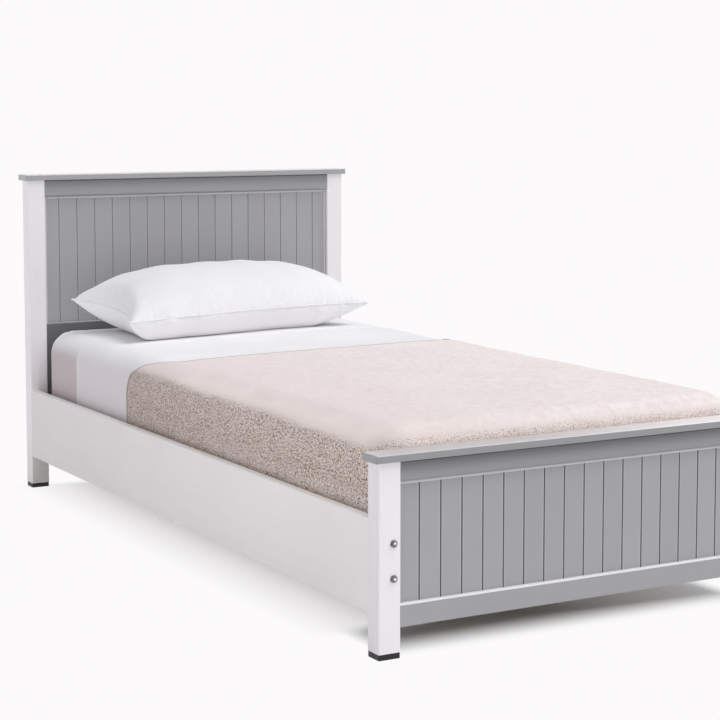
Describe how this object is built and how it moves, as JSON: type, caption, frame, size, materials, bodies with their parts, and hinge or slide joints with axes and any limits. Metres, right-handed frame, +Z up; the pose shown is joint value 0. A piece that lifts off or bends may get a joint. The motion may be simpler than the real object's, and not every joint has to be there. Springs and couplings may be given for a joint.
{
  "type": "single bed",
  "caption": "Single bed with panelled head and foot ends, white posts and side rails, slatted base, mattress, fitted sheet, tucked blanket and a pillow.",
  "frame": {"origin": "on the floor under the middle of the bed", "axes": "+Y points to the head end, +Z up, +X to the right as seen from the foot end"},
  "size_m": [1.018, 2.016, 0.884],
  "materials": {
    "white_paint": "satin",
    "grey_paint": "satin",
    "bare_pine": "matte",
    "zinc_steel": "satin",
    "black_plastic": "matte",
    "mattress_cover": "matte",
    "white_cotton": "matte",
    "beige_weave": "matte"
  },
  "bodies": {
    "bed_frame": {"head_post_left": "white_paint", "head_post_right": "white_paint", "foot_post_left": "white_paint", "foot_post_right": "white_paint", "head_cap": "grey_paint", "head_top_rail": "grey_paint", "head_low_rail": "grey_paint", "head_boards": "grey_paint", "head_dowels": "bare_pine", "foot_cap": "grey_paint", "foot_top_rail": "grey_paint", "foot_low_rail": "grey_paint", "foot_boards": "grey_paint", "foot_dowels": "bare_pine", "head_bead_top": "grey_paint", "head_bead_left": "grey_paint", "head_bead_right": "grey_paint", "foot_bead_top": "grey_paint", "foot_bead_left": "grey_paint", "foot_bead_right": "grey_paint", "head_pad_left": "black_plastic", "head_pad_right": "black_plastic", "foot_pad_left": "black_plastic", "foot_pad_right": "black_plastic", "head_block_left": "bare_pine", "head_block_right": "bare_pine", "foot_block_left": "bare_pine", "foot_block_right": "bare_pine", "side_rail_left": "white_paint", "side_rail_right": "white_paint", "ledge_left": "bare_pine", "ledge_right": "bare_pine", "slat_01": "bare_pine", "slat_02": "bare_pine", "slat_03": "bare_pine", "slat_04": "bare_pine", "slat_05": "bare_pine", "slat_06": "bare_pine", "slat_07": "bare_pine", "slat_08": "bare_pine", "slat_09": "bare_pine", "slat_10": "bare_pine", "slat_11": "bare_pine", "slat_12": "bare_pine", "slat_13": "bare_pine", "slat_14": "bare_pine", "bed_bolts": "zinc_steel", "bolt_washers": "zinc_steel", "barrel_nuts": "zinc_steel", "pad_screws": "zinc_steel", "block_screws": "zinc_steel", "ledge_screws": "zinc_steel", "slat_screws": "zinc_steel"},
    "made_mattress": {"mattress": "mattress_cover", "fitted_sheet": "white_cotton", "blanket": "beige_weave"},
    "loose_pillow": {"pillow": "white_cotton"}
  },
  "joints": [
    {"name": "mattress_lift", "type": "slide", "parent": "bed_frame", "child": "made_mattress", "axis": [0, 0, 1], "range_m": [0, 0.25]},
    {"name": "pillow_lift", "type": "slide", "parent": "made_mattress", "child": "loose_pillow", "axis": [0, 0, 1], "range_m": [0, 0.25]}
  ]
}
